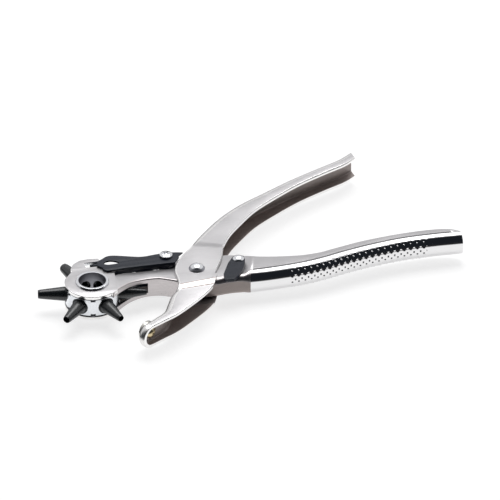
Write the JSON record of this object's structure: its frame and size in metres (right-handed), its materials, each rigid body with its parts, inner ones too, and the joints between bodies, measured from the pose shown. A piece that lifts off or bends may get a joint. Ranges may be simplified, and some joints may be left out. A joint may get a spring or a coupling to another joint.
{
  "type": "rotary hole punch",
  "caption": "Hand pliers that punch round holes in leather: a turning turret of hollow punch tubes on one arm, a soft anvil on the other, joined by a rivet and sprung open.",
  "frame": {"origin": "turret axis at mid thickness, which is the middle of the hub bore", "axes": "+X from the turret towards the pivot and the end of the turret arm's handle, +Z along the turret axis, up with the tool lying on its side, +Y towards the anvil arm's handle"},
  "size_m": [0.2239, 0.142, 0.0201],
  "materials": {
    "satin_nickel": "satin nickel plate, bright cut edges",
    "bright_steel": "polished",
    "plain_steel": "zinc plated",
    "black_steel": "black oxide, satin",
    "spring_steel": "dark spring steel",
    "anvil_metal": "soft pale brass",
    "brass": "satin"
  },
  "bodies": {
    "turret_arm_body": {"turret_arm": "satin_nickel", "pivot_rivet": "bright_steel", "pivot_washers": "plain_steel", "opening_spring": "spring_steel", "hub_washers": "plain_steel", "lever_screw": "bright_steel", "lever_sleeve": "plain_steel", "lever_nut": "bright_steel", "lever_spring": "spring_steel", "latch_rivet": "bright_steel", "latch_washer": "plain_steel"},
    "anvil_arm_body": {"anvil_arm": "satin_nickel", "anvil_disc": "anvil_metal", "anvil_rivet": "brass"},
    "turret_body": {"turret_drum": "bright_steel", "turret_hub": "bright_steel", "punch_tube_1": "black_steel", "punch_tube_2": "black_steel", "punch_tube_3": "black_steel", "punch_tube_4": "black_steel", "punch_tube_5": "black_steel", "punch_tube_6": "black_steel"},
    "index_lever_body": {"index_lever": "black_steel"},
    "latch_body": {"latch": "black_steel"}
  },
  "joints": [
    {"name": "handle_close", "type": "hinge", "parent": "turret_arm_body", "child": "anvil_arm_body", "pos_m": [0.055, 0, 0], "axis": [0, 0, -1], "range_deg": [0, 17], "stiffness_Nm_per_rad": 0.5, "deforming": ["opening_spring"]},
    {"name": "turret_spin", "type": "hinge", "parent": "turret_arm_body", "child": "turret_body", "pos_m": [0, 0, 0], "axis": [0, 0, 1], "continuous": true},
    {"name": "index_lever_lift", "type": "hinge", "parent": "turret_arm_body", "child": "index_lever_body", "pos_m": [0.0417, 0.0138, 0], "axis": [0, 0, -1], "range_deg": [0, 3], "stiffness_Nm_per_rad": 0.05, "deforming": ["lever_spring"]},
    {"name": "latch_swing", "type": "hinge", "parent": "turret_arm_body", "child": "latch_body", "pos_m": [0.078, 0.005, 0], "axis": [0, 0, -1], "range_deg": [0, 8]}
  ]
}
